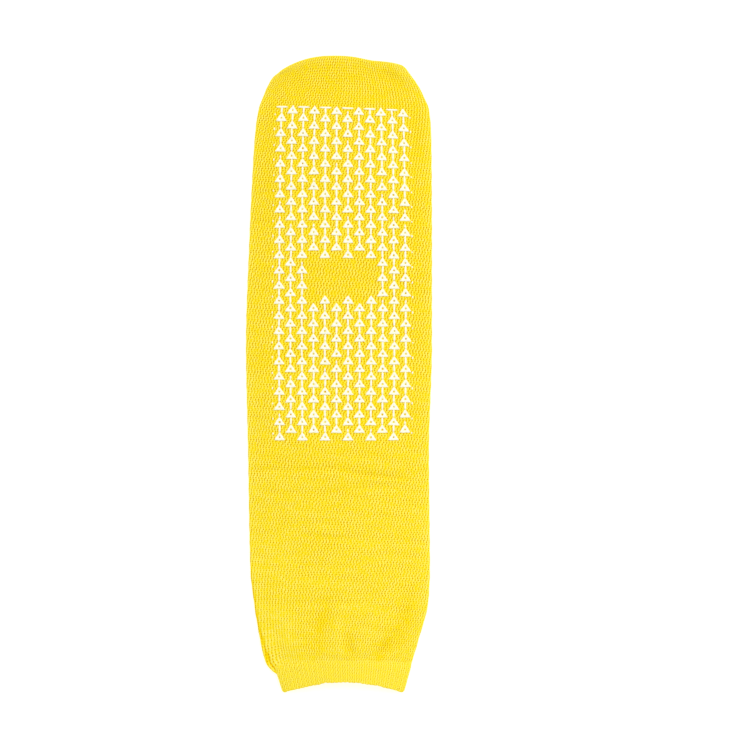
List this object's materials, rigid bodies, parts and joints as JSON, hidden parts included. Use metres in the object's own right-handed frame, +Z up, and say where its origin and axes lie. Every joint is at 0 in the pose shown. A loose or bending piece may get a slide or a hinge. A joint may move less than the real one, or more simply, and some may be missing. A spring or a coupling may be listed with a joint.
{
  "type": "slipper sock",
  "caption": "Yellow knitted tube slipper sock with no heel turned in it, lying slack and flat with its raised non-slip print upwards; toe linked shut, mouth finished with an elastic welt.",
  "frame": {"origin": "on the surface that the sock lies on, under the middle of its bounding box", "axes": "+Y from the mouth to the toe, +X to the right as the grip side is seen, +Z up, out of the grip side"},
  "size_m": [0.104, 0.3552, 0.0143],
  "materials": {
    "knit": "soft jersey with terry loops inside",
    "welt": "ribbed elastic knit",
    "thread": "matte yarn",
    "print": "soft satin, slightly grippy"
  },
  "bodies": {
    "root": {"knit_tube": "knit", "cuff_welt": "welt", "toe_seam": "thread", "grip_column_01": "print", "grip_column_02": "print", "grip_column_03": "print", "grip_column_04_toe": "print", "grip_column_04_heel": "print", "grip_column_05_toe": "print", "grip_column_05_heel": "print", "grip_column_06_toe": "print", "grip_column_06_heel": "print", "grip_column_07_toe": "print", "grip_column_07_heel": "print", "grip_column_08_toe": "print", "grip_column_08_heel": "print", "grip_column_09_toe": "print", "grip_column_09_heel": "print", "grip_column_10": "print", "grip_column_11": "print", "grip_column_12": "print"}
  },
  "joints": []
}
